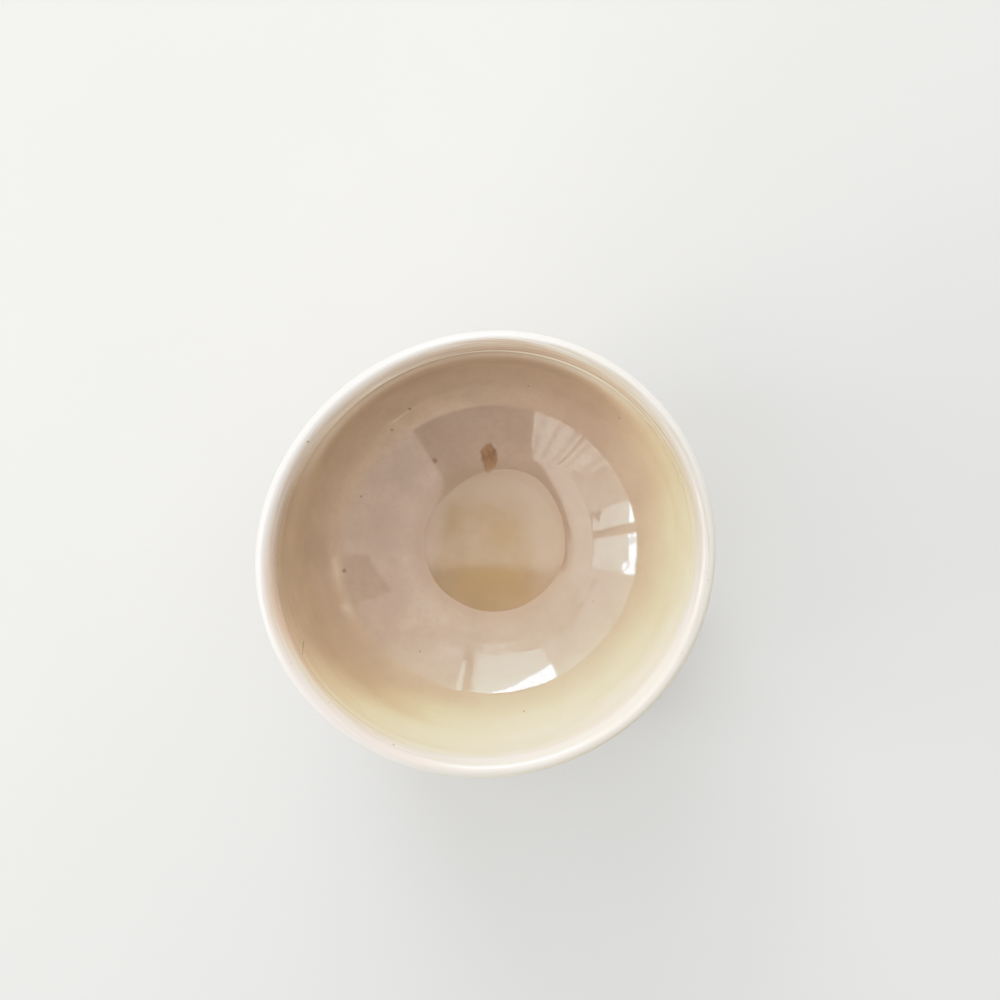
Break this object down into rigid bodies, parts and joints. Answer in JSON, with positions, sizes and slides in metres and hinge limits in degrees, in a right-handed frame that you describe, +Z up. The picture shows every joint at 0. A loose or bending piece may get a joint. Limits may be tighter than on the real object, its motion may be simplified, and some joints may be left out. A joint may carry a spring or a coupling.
{
  "type": "sake cup",
  "caption": "Small hand-thrown stoneware sake cup with a glazed bowl, a soft oval lip and a bare clay foot ring.",
  "frame": {"origin": "centre of the cup's footprint, on the surface that it stands on", "axes": "+Z up out of the mouth; +X towards the right of the reference view and +Y towards its top"},
  "size_m": [0.0728, 0.0716, 0.0482],
  "materials": {
    "bare_clay": "unglazed, matte, slightly sandy",
    "foot_clay": "unglazed, turned, toasted by the fire",
    "slip": "unglazed, matte",
    "liner_glaze": "glossy, cream, thin over buff clay",
    "white_glaze": "glossy, warm white, opaque",
    "amber_glaze": "glossy, amber where it pooled",
    "iron": "glossy, iron brown"
  },
  "bodies": {
    "root": {"clay_body": "bare_clay", "foot_ring": "foot_clay", "luting_slip": "slip", "inner_glaze": "liner_glaze", "outer_glaze": "white_glaze", "well_pool": "amber_glaze", "iron_spot": "iron"}
  },
  "joints": []
}
